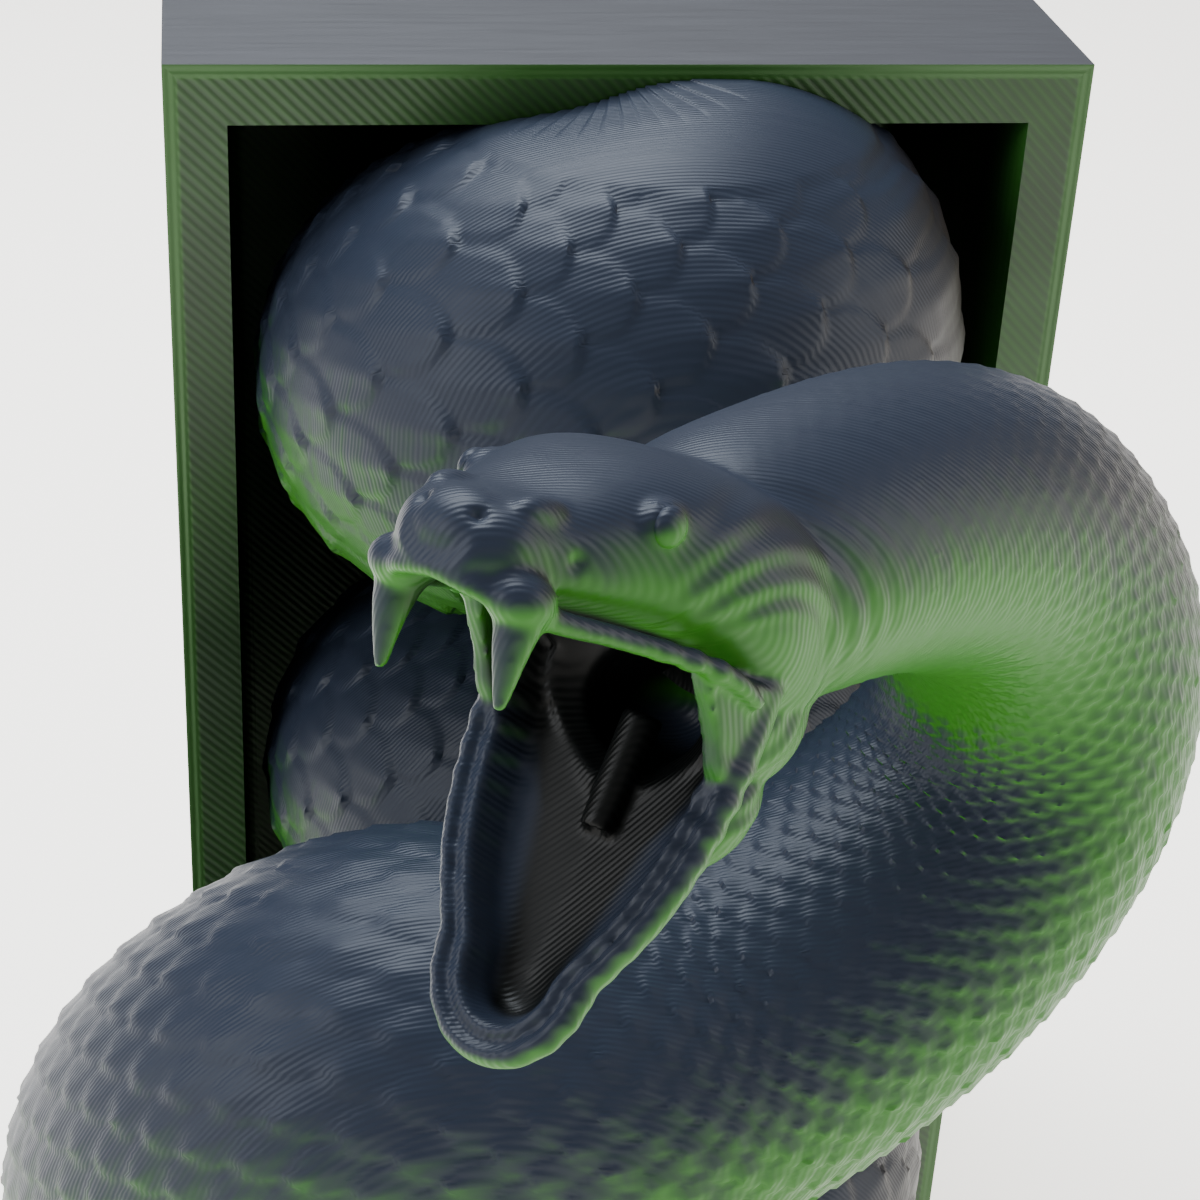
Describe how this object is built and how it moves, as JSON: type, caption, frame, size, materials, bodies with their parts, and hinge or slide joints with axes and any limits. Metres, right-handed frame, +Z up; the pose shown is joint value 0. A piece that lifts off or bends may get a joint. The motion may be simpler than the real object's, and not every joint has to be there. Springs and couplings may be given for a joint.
{
  "type": "twisty snake puzzle",
  "caption": "Scaled snake coiled in a tall open-fronted box; the coils below the top one twist on a hidden axle and the head end with gaping jaws swings out on a swivel.",
  "frame": {"origin": "middle of the tower's underside", "axes": "+Z up, the tower's open front faces -Y, +X to the right seen from the front"},
  "size_m": [0.0607, 0.0864, 0.0902],
  "materials": {
    "tower_print": "silky two-colour print, black with green edges",
    "snake_print": "silky two-colour print, black above and green below",
    "steel": "plain ground steel",
    "nylon": "natural nylon",
    "o_ring_rubber": "matt black rubber"
  },
  "bodies": {
    "tower": {"box_shell": "tower_print", "axle": "steel", "axle_plug": "tower_print", "anchor_dowel": "steel", "coil_washers": "nylon", "wave_washer": "steel", "top_coil": "snake_print"},
    "middle_turn": {"middle_coil": "snake_print"},
    "lower_turn": {"lower_coil": "snake_print", "swivel_pin": "snake_print", "pin_o_ring": "o_ring_rubber", "pin_clip": "steel"},
    "head_end": {"fore_body": "snake_print"}
  },
  "joints": [
    {"name": "middle_coil_twist", "type": "hinge", "parent": "tower", "child": "middle_turn", "pos_m": [-0.0008, -0.01175, 0.0438], "axis": [0, 0, 1], "continuous": true},
    {"name": "lower_coil_twist", "type": "hinge", "parent": "tower", "child": "lower_turn", "pos_m": [-0.0008, -0.01175, 0.0173], "axis": [0, 0, 1], "range_deg": [-6, 2]},
    {"name": "head_swing", "type": "hinge", "parent": "lower_turn", "child": "head_end", "pos_m": [-0.0035, -0.0275, 0.0134], "axis": [1, 0, 0], "range_deg": [0, 60]}
  ]
}
